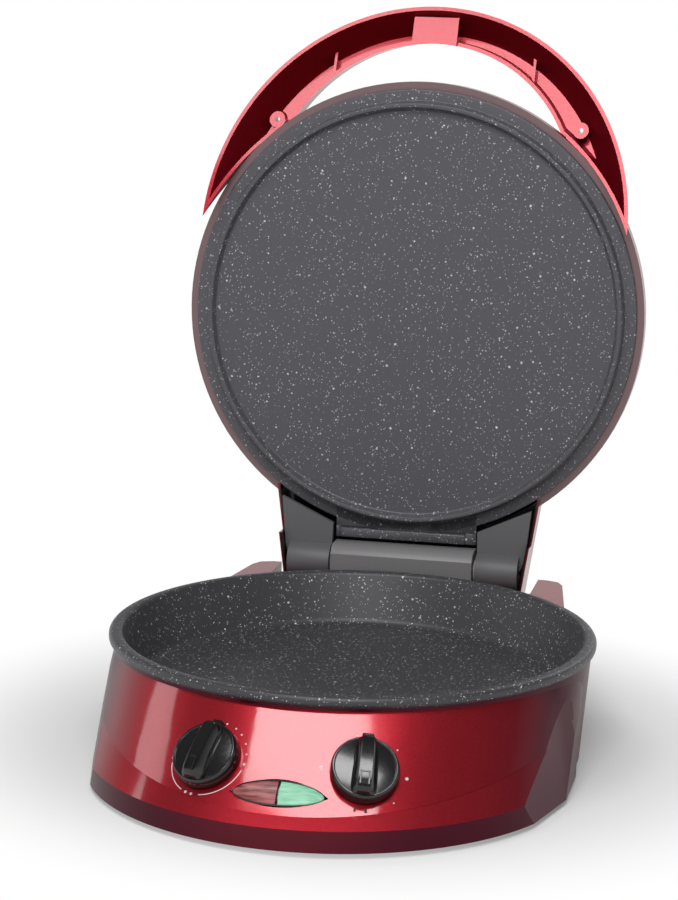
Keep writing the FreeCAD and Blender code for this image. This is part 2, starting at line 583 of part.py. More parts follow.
def leaning_ring(label, radius, depth):
    """Ellipse in the leaning plane that reads as a circle from the front."""
    ring = tagged("Part::Ellipse", label)
    out = Vec(0, -math.cos(math.radians(LEAN)), math.sin(math.radians(LEAN)))
    ring.Placement.Rotation = FreeCAD.Rotation(out, Vec(1, 0, 0), out.cross(Vec(1, 0, 0)), "XYZ")
    bind(ring, MajorRadius="(%s) / cos(%.6f deg)" % (radius, LEAN), MinorRadius=radius,
         Placement__Base__y="-dims.handle_centre",
         Placement__Base__z=rim_height("handle_centre", depth))
    return ring


def trough(label, inset, near, far):
    """Tapered drum between two depths below the rim plane."""
    item = tagged("Part::Loft", label)
    radius = "dims.handle_radius - %s - dims.handle_taper * (%s) / dims.handle_depth"
    item.Sections = [leaning_ring(label + "Near", radius % (inset, near), near),
                     leaning_ring(label + "Far", radius % (inset, far), far)]
    item.Solid = True
    item.Ruled = True
    return item


def under_rim(label, depth, length):
    """Everything nearer than a plane parallel to the rim."""
    y = ("-230", "0")
    near = [("%s" % y[0], "-200"), ("%s" % y[1], "-200"),
            (y[1], "12 - %s * 115 + %s" % (RISE, depth)),
            (y[0], "12 + %s * 115 + %s" % (RISE, depth))]
    return padded(label, "YZ_Plane", near, length, True)


front_zone = box("HandleZone", (-170, 170), (-240, -58), (-20, 120))
grip_gap = rod("GripGap", "dims.grip_radius", 260, y="-dims.grip_centre", z=-100)
arch = cut("ArchMass", common("ArchFront", trough("Trough", 0, "0", "dims.handle_depth"), front_zone),
           joined("ArchTools", [dome, grip_gap, rod("ArchUnder", "dims.lid_radius + 0.3", 30, z=-18)]))
channel = cut("ChannelMass", trough("Channel", "dims.handle_wall", "-6",
                                    "dims.handle_depth - dims.handle_wall"),
              joined("ChannelKeep", [
                  rod("GripWall", "dims.grip_radius + dims.handle_wall", 260, y="-dims.grip_centre",
                      z=-100),
                  rod("LidWall", "dims.lid_radius + dims.handle_wall", 260, z=-100)]))
low_brim = common("LowBrim", under_rim("LowBrimSlab", "8", 340),
                  rod("LowBrimZone", "dims.grip_radius + dims.handle_wall + 0.6", 260,
                      y="-dims.grip_centre", z=-100))
arch_open = cut("ArchOpen", arch, joined("ArchHollow", [channel, low_brim]))
fins = common("Fins", arch, joined("FinBoxes", [
    box("FinBox%d" % n, (px - 0.9, px + 0.9), (-196, -160), (0, 120))
    for n, px in enumerate((-71.5, 71.5))]))
catch = common("Catch", arch, box("CatchBox", (-16, 16), (-206, -180), (0, 120)))
bosses = common("Bosses", arch, joined("BossRods", [
    rod("BossRod%d" % n, 5.5, 100, x=px, y=-131) for n, px in enumerate((-108.5, 108.5))]))
inner_parts = joined("HandleInner", [cut("LowFins", joined("FinsAll", [fins, bosses]),
                                         under_rim("FinCut", "17", 340)),
                                     cut("LowCatch", catch, under_rim("CatchCut", "5", 340))])
boss_holes = [rod("BossHole%d" % n, 1.8, 120, x=px, y=-131) for n, px in enumerate((-108.5, 108.5))]
on_lid(cut("Handle", joined("HandleMass", [arch_open, inner_parts]), joined("HandleBores", boss_holes)),
       "lid_handle")
on_lid(heater("UpperHeater", "(dims.recess + 3.6 + dims.element_tube)"), "upper_heating_element")
on_lid(turned("UpperReflector", [
    (0, 22), (120, 22), (126, 16), (131, 16), (131, 15), (125.6, 15), (119.6, 21), (0, 21)]),
    "upper_reflector")
on_lid(group("UpperSpacers", [rod("UpperSpacer%d" % n, 5, "21 - dims.recess - 3.4", x=px, y=py,
                                  z="dims.recess + 3.4")
                              for n, (px, py) in enumerate(PILLARS)]), "upper_spacers")
on_lid(group("LidPosts", [rod("LidPost%d" % n, 5, 45, x=px, y=py, z=22)
                          for n, (px, py) in enumerate(((-60, 60), (60, 60), (60, -60), (-60, -60)))]),
       "lid_posts")

# ---- checks and export -----------------------------------------------------------------
doc.recompute()
problems = []
for item in doc.Objects:
    if "Invalid" in item.State or "Error" in item.State:
        problems.append("%s is in state %s" % (item.Label, item.State))
for item in nodes:
    if item.Shape.isNull() or not item.Shape.isValid() or not item.Shape.Solids:
        problems.append("%s has no valid solid" % item.Label)
if problems:
    raise RuntimeError("; ".join(problems))
whole = FreeCAD.BoundBox()
for item in nodes:
    whole.add(item.Shape.BoundBox)
    item.Shape.exportStep("parts/%s.step" % item.Label)
    print("%-24s %2d solids %10.0f mm3" % (item.Label, len(item.Shape.Solids), item.Shape.Volume))
print("whole box %.3f x %.3f x %.3f mm, y from %.3f, z from %.3f"
      % (whole.XLength, whole.YLength, whole.ZLength, whole.YMin, whole.ZMin))
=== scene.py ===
import bpy
import bmesh
import math
from mathutils import Matrix, Vector


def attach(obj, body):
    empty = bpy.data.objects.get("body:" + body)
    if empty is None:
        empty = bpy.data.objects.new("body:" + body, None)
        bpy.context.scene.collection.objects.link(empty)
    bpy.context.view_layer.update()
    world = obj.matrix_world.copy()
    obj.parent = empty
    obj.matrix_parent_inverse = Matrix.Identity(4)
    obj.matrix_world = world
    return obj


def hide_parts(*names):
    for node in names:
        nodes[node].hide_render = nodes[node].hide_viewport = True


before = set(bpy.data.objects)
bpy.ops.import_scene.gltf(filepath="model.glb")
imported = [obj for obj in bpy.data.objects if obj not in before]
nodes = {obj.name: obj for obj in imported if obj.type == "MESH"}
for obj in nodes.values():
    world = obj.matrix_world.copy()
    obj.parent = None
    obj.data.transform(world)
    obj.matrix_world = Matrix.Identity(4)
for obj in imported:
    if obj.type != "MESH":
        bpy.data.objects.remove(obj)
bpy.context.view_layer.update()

scene = bpy.context.scene
scene.view_settings.view_transform = "Standard"


# ---- Camera ----------------------------------------------------------------------------
# A long lens from the front right, slightly above and a touch rolled. It stands 1.8 m away,
# so the near and far sides keep much the same scale.
lens = bpy.data.cameras.new("ViewLens")
lens.sensor_fit = "VERTICAL"
lens.sensor_height = 36.0
lens.lens = 111.106
lens.clip_end = 50.0
eye = bpy.data.objects.new("ViewCamera", lens)
eye.location = (0.340846, -1.735093, 0.557622)
eye.rotation_euler = [math.radians(angle) for angle in (78.3298, -1.13049, 11.91378)]
scene.collection.objects.link(eye)
scene.camera = eye


# ---- Floor, backdrop and lamps -----------------------------------------------------------
# A white sheet that keeps the soft shadow near the object and turns to plain white further
# out, under one large soft lamp, a panel that draws the broad front highlight and two fills.
FLOOR_HALF = 30.0
SHADOW_NEAR = 0.165
SHADOW_FAR = 0.33
SHADOW_LEAST_GLOW = 0.15
WHITE = (1, 1, 1, 1)
SKY_BRIGHT_BELOW = 0.10
SKY_DIM_ABOVE = 0.45
SKY_DIM = 0.12


def fill(tree, node, inputs):
    """Give a node's inputs plain values, or link them to the sockets handed in."""
    for key, value in inputs.items():
        if isinstance(value, bpy.types.NodeSocket):
            tree.links.new(value, node.inputs[key])
        else:
            node.inputs[key].default_value = value


def grow(tree, kind, inputs=None, **traits):
    """Add one node of this kind, with its traits set and its inputs filled."""
    node = tree.nodes.new(kind)
    for trait, value in traits.items():
        setattr(node, trait, value)
    fill(tree, node, inputs or {})
    return node


def maths(tree, operation, *terms):
    """Socket with the result of a sum over numbers and sockets."""
    return grow(tree, "ShaderNodeMath", dict(enumerate(terms)), operation=operation).outputs[0]


def remapped(tree, value, from_min, from_max, to_min=0.0, to_max=1.0, ease="LINEAR"):
    """Socket with the value carried from one range to another and held at its ends."""
    return grow(tree, "ShaderNodeMapRange",
                {"Value": value, "From Min": from_min, "From Max": from_max,
                 "To Min": to_min, "To Max": to_max}, interpolation_type=ease).outputs["Result"]


def blank_material(name):
    """New material with an empty node tree."""
    material = bpy.data.materials.new(name)
    material.use_nodes = True
    material.node_tree.nodes.clear()
    return material, material.node_tree


floor_paint, tree = blank_material("FloorWhite")
ray = grow(tree, "ShaderNodeLightPath").outputs
place = grow(tree, "ShaderNodeTexCoord").outputs["Object"]
distance = grow(tree, "ShaderNodeVectorMath", {0: place}, operation="LENGTH").outputs["Value"]
seen = maths(tree, "MAXIMUM", ray["Is Camera Ray"], ray["Is Glossy Ray"])
plain = remapped(tree, distance, SHADOW_NEAR, SHADOW_FAR, SHADOW_LEAST_GLOW, 1.0, "SMOOTHSTEP")
matt = grow(tree, "ShaderNodeBsdfDiffuse", {"Color": (0.78, 0.78, 0.78, 1)})
glow = grow(tree, "ShaderNodeEmission", {"Color": WHITE, "Strength": 1.0})
blend = grow(tree, "ShaderNodeMixShader", {"Fac": maths(tree, "MULTIPLY", seen, plain),
                                           1: matt.outputs[0], 2: glow.outputs[0]})
grow(tree, "ShaderNodeOutputMaterial", {"Surface": blend.outputs[0]})

floor_mesh = bpy.data.meshes.new("FloorSheet")
floor_corners = [(FLOOR_HALF * x, FLOOR_HALF * y, 0) for x, y in ((-1, -1), (1, -1), (1, 1), (-1, 1))]
floor_mesh.from_pydata(floor_corners, [], [(0, 1, 2, 3)])
floor_mesh.materials.append(floor_paint)
floor = bpy.data.objects.new("FloorSheet", floor_mesh)
scene.collection.objects.link(floor)

# The air is white where the camera or clear plastic sees it, and near the horizon in gloss.
world = bpy.data.worlds.new("StudioAir")
scene.world = world
world.use_nodes = True
air = world.node_tree
air.nodes.clear()
ray = grow(air, "ShaderNodeLightPath").outputs
toward = grow(air, "ShaderNodeTexCoord").outputs["Generated"]
level = grow(air, "ShaderNodeSeparateXYZ", {"Vector": toward}).outputs["Z"]
horizon = remapped(air, level, SKY_DIM_ABOVE, SKY_BRIGHT_BELOW)
mirrored = maths(air, "MULTIPLY", ray["Is Glossy Ray"], horizon)
seen = maths(air, "MAXIMUM", ray["Is Camera Ray"], ray["Is Transmission Ray"])
dim = grow(air, "ShaderNodeBackground", {"Color": WHITE, "Strength": SKY_DIM})
bright = grow(air, "ShaderNodeBackground", {"Color": WHITE, "Strength": 1.0})
sky = grow(air, "ShaderNodeMixShader", {"Fac": maths(air, "MAXIMUM", seen, mirrored),
                                        1: dim.outputs[0], 2: bright.outputs[0]})
grow(air, "ShaderNodeOutputWorld", {"Surface": sky.outputs[0]})


def soft_lamp(name, spot, target, width, height, power):
    """Rectangular lamp in metres and watts, aimed at its target."""
    lamp = bpy.data.lights.new(name, "AREA")
    lamp.shape = "RECTANGLE"
    lamp.size = width
    lamp.size_y = height
    lamp.energy = power
    item = bpy.data.objects.new(name, lamp)
    item.location = spot
    item.rotation_euler = (Vector(target) - Vector(spot)).to_track_quat("-Z", "Y").to_euler()
    scene.collection.objects.link(item)


soft_lamp("KeyLamp", (0.1, -2.0, 2.0), (0, -0.03, 0.25), 0.9, 0.9, 24)
soft_lamp("TopLamp", (-0.09, -0.64, 1.45), (0.02, -0.2, 0.05), 1.20, 0.26, 10.5)
soft_lamp("LeftLamp", (-1.95, -0.02, 1.15), (-0.05, -0.2, 0.05), 0.6, 0.5, 2.6)
soft_lamp("BackLamp", (0.7, 1.8, 1.6), (0, 0.1, 0.2), 1.6, 1.0, 12)


# ---- Base shell and lid shell ------------------------------------------------------------
# Moulded plastic sprayed in pearl red: a deep red ground with fine flakes under a hard clear
# coat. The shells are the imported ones, and keep their shape.
FORWARD = 0.030673     # the dish's axis lies this far in front of the origin, in metres
HINGE_BACK = 0.1798    # from that axis to the hinge pin
HINGE_UP = 0.0788
HINGE_DROP = 0.0036    # from the pin down to the lowest plane of the upper plate, lid shut
LID_OPEN = math.radians(93)
lid_back = HINGE_BACK * (1 - math.cos(LID_OPEN)) - HINGE_DROP * math.sin(LID_OPEN)
lid_up = HINGE_UP + HINGE_BACK * math.sin(LID_OPEN) - HINGE_DROP * math.cos(LID_OPEN)
lid_frame = Matrix.Translation((0, lid_back - FORWARD, lid_up)) @ Matrix.Rotation(-LID_OPEN, 4, "X")
PEARL_METAL = 0.62
PEARL_SHINE = 0.25
BARE_WITHIN = 0.092    # the base's paint has least flake up to this |y|, in metres
FLAKED_BEYOND = 0.122  # and all of its flake from here on
LEAST_FLAKE = 0.08
LID_RIM = 0.011        # height of the band of painted shade on the lid's rim, in the lid's own frame, in metres
LID_RIM_HALF = 0.0014
HOLLOW_START = 0.128   # bounds of the hollow behind the hinge covers, in the same frame
HOLLOW_END = 0.1988
HOLLOW_TOP = 0.0234
HOLLOW_HALF = 0.1118   # its half width at y = 0, which narrows by HOLLOW_TAPER for each unit of y
HOLLOW_TAPER = 0.144


def mixed(tree, factor, first, second):
    """Socket with the first colour turning into the second as the factor rises."""
    return grow(tree, "ShaderNodeMix", {"Factor": factor, "A": first, "B": second},
                data_type="RGBA").outputs["Result"]


def finish_skin(tree, skin, wander, low, high, height, strength, distance):
    """Vary the skin's roughness, add its fine bump and lead it to the material's output."""
    bump = grow(tree, "ShaderNodeBump", {"Strength": strength, "Distance": distance,
                                         "Height": height})
    fill(tree, skin, {"Roughness": remapped(tree, wander, 0.0, 1.0, low, high),
                      "Normal": bump.outputs["Normal"]})
    grow(tree, "ShaderNodeOutputMaterial", {"Surface": skin.outputs[0]})


def pearl_red(name, ground, flake, change=None):
    """Pearl paint; change is a function that alters its colour or gloss from place to place."""
    material, tree = blank_material(name)
    skin = grow(tree, "ShaderNodeBsdfPrincipled", {
        "Metallic": PEARL_METAL, "Specular IOR Level": PEARL_SHINE,
        "Coat Weight": 0.45, "Coat Roughness": 0.08, "Coat IOR": 1.5})
    spot = grow(tree, "ShaderNodeTexCoord").outputs
    grain = grow(tree, "ShaderNodeTexVoronoi", {"Vector": spot["Object"], "Scale": 5200.0})
    cloud = grow(tree, "ShaderNodeTexNoise", {"Vector": spot["Object"], "Scale": 1800.0,
                                              "Detail": 3.0})
    pick = grow(tree, "ShaderNodeSeparateColor", {"Color": grain.outputs["Color"]}).outputs
    colour = mixed(tree, remapped(tree, pick["Red"], 0.75, 1.0, 0.0, 0.55), ground, flake)
    if change:
        colour = change(tree, skin, spot, colour)
    fill(tree, skin, {"Base Color": colour})
    finish_skin(tree, skin, cloud.outputs["Fac"], 0.30, 0.40, pick["Green"], 0.05, 0.0001)
    return material


def painted_shade_facing_away(tree, skin, spot, colour):
    """Painted shade: darker, duller paint on faces turned away from the light above and in front.

    The side walls, near y = 0, carry hardly any flake.
    """
    # Painted shade: faces turned from the light above and in front fade to near black-red with little
    # clear coat.
    toward_light = Vector((0, -0.6, 0.8)).normalized()
    facing = grow(tree, "ShaderNodeVectorMath", {0: spot["Normal"], 1: toward_light},
                  operation="DOT_PRODUCT").outputs["Value"]
    light_share = remapped(tree, facing, 0.50, 0.90, ease="SMOOTHSTEP")
    where = grow(tree, "ShaderNodeSeparateXYZ", {"Vector": spot["Object"]}).outputs
    from_side = maths(tree, "ABSOLUTE", where["Y"])
    fill(tree, skin, {
        "Coat Weight": remapped(tree, light_share, 0.0, 1.0, 0.06, 0.95),
        "Metallic": remapped(tree, from_side, BARE_WITHIN, FLAKED_BEYOND, LEAST_FLAKE, PEARL_METAL,
                             "SMOOTHSTEP"),
        "Specular IOR Level": remapped(tree, from_side, BARE_WITHIN, FLAKED_BEYOND, LEAST_FLAKE,
                                       PEARL_SHINE, "SMOOTHSTEP")})
    return mixed(tree, light_share, (0.065, 0.002, 0.012, 1), colour)


def painted_rim_and_hollow_shade(tree, skin, spot, colour):
    """Painted shade: a greyish brown band on the rim beside the upper plate, and near black in the
    hollow behind the hinge covers.
    """
    local = grow(tree, "ShaderNodeMapping", {
        "Vector": spot["Object"], "Location": lid_frame.to_translation(),
        "Rotation": lid_frame.to_euler()}, vector_type="TEXTURE")
    part = grow(tree, "ShaderNodeSeparateXYZ", {"Vector": local.outputs["Vector"]}).outputs
    # Painted shade: the band round the rim turns greyish brown.
    rim = maths(tree, "COMPARE", part["Z"], LID_RIM, LID_RIM_HALF)
    colour = mixed(tree, rim, colour, (0.19, 0.12, 0.125, 1))
    # Painted shade: the hollow behind the hinge covers turns near black.
    aside = maths(tree, "ABSOLUTE", part["X"])
    taper = maths(tree, "MULTIPLY_ADD", part["Y"], HOLLOW_TAPER, aside)
    hollow_shade = maths(tree, "LESS_THAN", taper, HOLLOW_HALF)
    for mode, value, limit in (("GREATER_THAN", part["Y"], HOLLOW_START),
                               ("LESS_THAN", part["Y"], HOLLOW_END),
                               ("LESS_THAN", part["Z"], HOLLOW_TOP)):
        hollow_shade = maths(tree, "MULTIPLY", hollow_shade, maths(tree, mode, value, limit))
    return mixed(tree, hollow_shade, colour, (0.016, 0.015, 0.016, 1))


def dress(name, material):
    """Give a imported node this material."""
    slots = nodes[name].data.materials
    slots.clear()
    slots.append(material)


lid_red = (0.24, 0.003, 0.012, 1)
lid_flake = (0.45, 0.05, 0.06, 1)
# The base's paint carries painted shade on faces turned away from the light above and in front.
dress("base_shell", pearl_red("PearlRedBase", (0.36, 0.003, 0.014, 1), (0.60, 0.05, 0.06, 1),
                              painted_shade_facing_away))
# The lid's paint carries painted shade on its rim and in the hollow behind the hinge covers.
dress("lid_shell", pearl_red("PearlRedLid", lid_red, lid_flake, painted_rim_and_hollow_shade))


# ---- Lid handle --------------------------------------------------------------------------
# The crescent trough that is gripped to lift the lid, moulded in the same pearl red and
# screwed to the lid from inside through its two bosses.
dress("lid_handle", pearl_red("PearlRed", lid_red, lid_flake))


# ---- Lower baking dish -------------------------------------------------------------------
# Deep round dish in cast aluminium with a dark stone-effect coat and a thick rolled flange
# that lies on the rim of the housing. Turned from one rounded section.
RIM_HEIGHT = 74.0
SPECKS = ((150.0, 0.15, 0.80), (260.0, 0.20, 0.80), (420.0, 0.24, 0.76), (700.0, 0.30, 0.70))
SPECK_WHITE = (0.80, 0.80, 0.82, 1)


def stone_coat(name, ground, tilt):
    """Dark coat splashed with pale mineral specks of four sizes and a fine orange peel.

    SPECKS has a row for each size: cells to the metre, a speck's radius as a share of its
    cell, and the share of the cells that stay empty.
    """
    material, tree = blank_material(name)
    skin = grow(tree, "ShaderNodeBsdfPrincipled", {"Coat Weight": 0.15, "Coat Roughness": 0.35})
    spot = grow(tree, "ShaderNodeTexCoord").outputs["Object"]
    lay = grow(tree, "ShaderNodeMapping", {"Vector": spot, "Rotation": tilt}).outputs["Vector"]
    bend = grow(tree, "ShaderNodeTexNoise", {"Vector": lay, "Scale": 700.0}).outputs["Color"]
    uneven = grow(tree, "ShaderNodeVectorMath", {0: bend, 1: (0.0012, 0.0012, 0.0012), 2: lay},
                  operation="MULTIPLY_ADD").outputs["Vector"]
    specks = None
    for scale, radius, empty in SPECKS:
        cell = grow(tree, "ShaderNodeTexVoronoi", {"Vector": uneven, "Scale": scale}).outputs
        pick = grow(tree, "ShaderNodeSeparateColor", {"Color": cell["Color"]}).outputs
        chosen = maths(tree, "GREATER_THAN", pick["Red"], empty)
        dot = remapped(tree, cell["Distance"], radius, radius * 0.6)
        shade = remapped(tree, pick["Green"], 0.0, 1.0, 0.12, 1.0)
        lit = maths(tree, "MULTIPLY", maths(tree, "MULTIPLY", chosen, dot), shade)
        specks = maths(tree, "MAXIMUM", specks, lit) if specks else lit
    fill(tree, skin, {"Base Color": mixed(tree, specks, ground, SPECK_WHITE)})
    fine = grow(tree, "ShaderNodeTexNoise", {"Vector": lay, "Scale": 1500.0}).outputs["Fac"]
    finish_skin(tree, skin, fine, 0.42, 0.56, fine, 0.22, 0.0002)
    return material


def eased(corners, steps=5):
    """Open outline of (a, b, radius) corners with each corner turned through a small arc."""
    points = [Vector(corners[0][:2])]
    for index in range(1, len(corners) - 1):
        before, here, after = (Vector(corners[index + k][:2]) for k in (-1, 0, 1))
        radius = corners[index][2]
        back = (before - here).normalized()
        ahead = (after - here).normalized()
        half = back.angle(ahead) / 2
        if radius <= 0 or half > math.radians(89):
            points.append(here)
            continue
        run = min(radius / math.tan(half), (before - here).length * 0.48,
                  (after - here).length * 0.48)
        radius = run * math.tan(half)
        centre = here + (back + ahead).normalized() * (radius / math.sin(half))
        start = here + back * run - centre
        end = here + ahead * run - centre
        for step in range(steps + 1):
            turn = start.slerp(end, step / steps, start)
            points.append(centre + turn.normalized() * radius)
    points.append(Vector(corners[-1][:2]))
    return points


def ring_faces(layers, count, first=0, wrap=False):
    """Faces between rings of count points each; wrap joins the last ring to the first."""
    faces = []
    for layer in range(layers if wrap else layers - 1):
        low = first + layer * count
        high = first + (layer + 1) % layers * count
        for step in range(count):
            follow = (step + 1) % count
            faces.append((low + step, low + follow, high + follow, high + step))
    return faces


def turned(section, matrix, segments):
    """Closed solid of revolution about local Z; the section starts and ends on the axis."""
    rings = section[1:-1]
    points = [Vector((0, 0, section[0][1]))]
    for radius, height in rings:
        for step in range(segments):
            angle = 2 * math.pi * step / segments
            points.append(Vector((radius * math.cos(angle), radius * math.sin(angle), height)))
    points.append(Vector((0, 0, section[-1][1])))
    faces = ring_faces(len(rings), segments, 1)
    last = len(points) - 1
    for step in range(segments):
        follow = (step + 1) % segments
        faces.append((0, 1 + follow, 1 + step))
        faces.append((last - segments + step, last - segments + follow, last))
    return [matrix @ (point / 1000) for point in points], faces


def add_piece(name, shells, body, material, stands_for=None, sharp=40.0):
    """One object out of closed shells, each a list of points and a list of faces, in metres."""
    build = bmesh.new()
    for points, faces in shells:
        spots = [build.verts.new(point) for point in points]
        for face in faces:
            build.faces.new([spots[index] for index in face])
    bmesh.ops.remove_doubles(build, verts=build.verts, dist=1e-7)
    bmesh.ops.recalc_face_normals(build, faces=build.faces)
    mesh = bpy.data.meshes.new(name)
    build.to_mesh(mesh)
    build.free()
    mesh.materials.append(material)
    mesh.shade_smooth()
    mesh.set_sharp_from_angle(angle=math.radians(sharp))
    item = bpy.data.objects.new(name, mesh)
    scene.collection.objects.link(item)
    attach(item, body)
    if stands_for:
        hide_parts(stands_for)


flange_top = RIM_HEIGHT + 7
dish_section = eased([
    (0, 44, 0), (139.2, 44, 3), (149.4, RIM_HEIGHT - 0.6, 0), (149.4, RIM_HEIGHT, 0),
    (157.5, RIM_HEIGHT, 3.0), (157.5, flange_top, 3.2), (149.2, flange_top, 3.4), (136.6, 47, 6),
    (0, 47, 0)], 7)
add_piece("BakingDish", [turned(dish_section, Matrix.Translation((0, -FORWARD, 0)), 224)],
          "base",
          stone_coat("StoneCoatLower", (0.046, 0.045, 0.051, 1), (0.3, 0.5, 0.2)),
          "lower_baking_plate")


# ---- Upper baking plate ------------------------------------------------------------------
# The lid's plate: a flat field inside a raised sealing bead, a thin flange, and a tongue with
# a raised rail that reaches down between the hinge covers. Screwed to the lid from behind.
FLANGE_LOW = 6.8
FLANGE_HIGH = 9.8
TONGUE_HALF = 50.4
TONGUE_END = 161.6
RAIL_LEFT = -47.0
RAIL_RIGHT = 42.5
RAIL_START = 155.2
plate_section = eased([
    (0, 5.0, 0), (141.9, 5.0, 1.6), (144.0, 0.3, 0.7), (145.8, 0, 0.5), (146.7, 0.15, 0.3),
    (147.35, 1.9, 0.7), (148.3, FLANGE_LOW, 0.9), (156.4, FLANGE_LOW, 1.1),
    (156.4, FLANGE_HIGH, 0.7), (147, FLANGE_HIGH, 1), (141.4, 8.4, 1), (0, 8.4, 0)], 6)


def slab(matrix, low, high, edge):
    """Block with all its edges chamfered, from its low and high corners in millimetres."""
    points = []
    for level, inset in ((low[2], edge), (low[2] + edge, 0), (high[2] - edge, 0), (high[2], edge)):
        x0, x1 = low[0] + inset, high[0] - inset
        y0, y1 = low[1] + inset, high[1] - inset
        ring = ((x0 + edge, y0), (x1 - edge, y0), (x1, y0 + edge), (x1, y1 - edge),
                (x1 - edge, y1), (x0 + edge, y1), (x0, y1 - edge), (x0, y0 + edge))
        points += [matrix @ (Vector((x, y, level)) / 1000) for x, y in ring]
    faces = ring_faces(4, 8)
    faces.append(tuple(range(7, -1, -1)))
    faces.append(tuple(range(24, 32)))
    return points, faces


tongue_high = FLANGE_HIGH - 0.1
add_piece("LidPlate", [
    turned(plate_section, lid_frame, 224),
    slab(lid_frame, (-TONGUE_HALF, 132, FLANGE_LOW), (TONGUE_HALF, 153.9, tongue_high), 0.3),
    slab(lid_frame, (0.2 - TONGUE_HALF, 153.4, FLANGE_LOW + 1.2),
         (TONGUE_HALF - 0.2, TONGUE_END - 0.2, tongue_high - 0.1), 0.4),
    slab(lid_frame, (-TONGUE_HALF, 153.2, FLANGE_LOW), (RAIL_LEFT - 0.2, TONGUE_END, tongue_high), 0.3),
    slab(lid_frame, (RAIL_RIGHT + 0.2, 153.2, FLANGE_LOW), (TONGUE_HALF, TONGUE_END, tongue_high), 0.3),
    slab(lid_frame, (RAIL_LEFT, RAIL_START, FLANGE_LOW - 0.7), (RAIL_RIGHT, TONGUE_END, 9.0), 0.5)],
    "lid",
    stone_coat("StoneCoatUpper", (0.080, 0.078, 0.090, 1), (0.7, 0.4, 0.9)), "upper_baking_plate")


# ---- Hinge covers, block, washers, pin and screws -----------------------------------------
# Two grey covers turn with the lid on a steel pin through the pale block between them, which
# is screwed to the housing. Satin moulded plastic with softened edges.
def moulded(name, colour, rough, coat=0.0, metal=0.0, grain=900.0, depth=0.15):
    """Plain plastic, rubber or metal with a faint cloud in its colour and a fine grain."""
    material, tree = blank_material(name)
    skin = grow(tree, "ShaderNodeBsdfPrincipled", {
        "Metallic": metal, "Coat Weight": coat, "Coat Roughness": 0.05})
    spot = grow(tree, "ShaderNodeTexCoord").outputs["Object"]
    fine = grow(tree, "ShaderNodeTexNoise", {"Vector": spot, "Scale": grain,
                                             "Detail": 4.0}).outputs["Fac"]
    darker = tuple(0.86 * part for part in colour) + (1,)
    paler = tuple(min(1.0, 1.14 * part) for part in colour) + (1,)
    fill(tree, skin, {"Base Color": mixed(tree, fine, darker, paler)})
    finish_skin(tree, skin, fine, rough - 0.05, rough + 0.05, fine, depth, 0.0002)
    return material


def softened(node, name, width, body, material):
    """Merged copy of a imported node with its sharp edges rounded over."""
    build = bmesh.new()
    build.from_mesh(nodes[node].data)
    bmesh.ops.remove_doubles(build, verts=build.verts, dist=1e-6)
    bmesh.ops.dissolve_limit(build, angle_limit=math.radians(1.0), verts=build.verts,
                             edges=build.edges)
    mesh = bpy.data.meshes.new(name + "Raw")
    build.to_mesh(mesh)
    build.free()
    blank = bpy.data.objects.new(name + "Raw", mesh)
    scene.collection.objects.link(blank)
    edge = blank.modifiers.new("Edge", "BEVEL")
    edge.width = width
    edge.segments = 3
    edge.limit_method = "ANGLE"
    edge.angle_limit = math.radians(32)
    finished = bpy.data.meshes.new_from_object(blank.evaluated_get(
        bpy.context.evaluated_depsgraph_get()))
    bpy.data.objects.remove(blank)
    finished.materials.clear()
    finished.materials.append(material)
    finished.shade_smooth()
    finished.set_sharp_from_angle(angle=math.radians(35))
    item = bpy.data.objects.new(name, finished)
    scene.collection.objects.link(item)
    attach(item, body)
    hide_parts(node)


hinge_grey = moulded("HingeGrey", (0.115, 0.115, 0.12), 0.5, grain=1400.0)
block_grey = moulded("HingeBlockGrey", (0.215, 0.21, 0.215), 0.42, grain=1400.0)
zinc_steel = moulded("ZincSteel", (0.55, 0.55, 0.53), 0.35, metal=1.0)
softened("hinge_cover_left", "HingeCoverLeft", 0.0007, "lid", hinge_grey)
softened("hinge_cover_right", "HingeCoverRight", 0.0007, "lid", hinge_grey)
softened("hinge_block", "HingeBlock", 0.0008, "base", block_grey)
dress("hinge_washers", moulded("WasherNylon", (0.42, 0.42, 0.40), 0.5))
for name in ("hinge_pin", "hinge_screws", "cover_screws", "support_posts", "lid_posts",
             "timer_shaft", "thermostat_shaft"):
    dress(name, zinc_steel)


# ---- Control knobs -----------------------------------------------------------------------
# Two black gloss knobs pushed on their shafts: a shallow dished disc with a rolled rim, a
# tapered finger bar with a small framed window near its foot, and a pointer tab.
PANEL_RADIUS = 152.5
PANEL_LEAN = 58.0 / 57.0    # how far the panel comes forward for each unit down
PANEL_TILT = math.radians(45)
CONTROL_X = -3.3
KNOB_APART = 47.5           # from CONTROL_X to either knob
KNOB_HEIGHT = 43.5
KNOB_FAN = 17               # degrees by which each knob faces outward
BAR_HALF = 18.5
BAR_LOW = 7.6
BAR_TOP = 16.8
BAR_STATIONS = 25


def panel_axis(height):
    """Y of the axis of the panel's round section at this height, in millimetres."""
    return -PANEL_LEAN * (RIM_HEIGHT - height) - FORWARD * 1000


def panel_spot(x, height):
    """Point of the leaning front surface at this x and height, in metres."""
    y = panel_axis(height) - math.sqrt(PANEL_RADIUS ** 2 - x ** 2)
    return Vector((x, y, height)) / 1000


def control_frame(side):
    """Frame of a knob with local Z out of the panel; side is -1 for the timer, 1 for the other."""
    turn = Matrix.Rotation(math.radians(side * KNOB_FAN), 4, "Z") @ Matrix.Rotation(PANEL_TILT, 4, "X")
    return Matrix.Translation(panel_spot(CONTROL_X + side * KNOB_APART, KNOB_HEIGHT)) @ turn


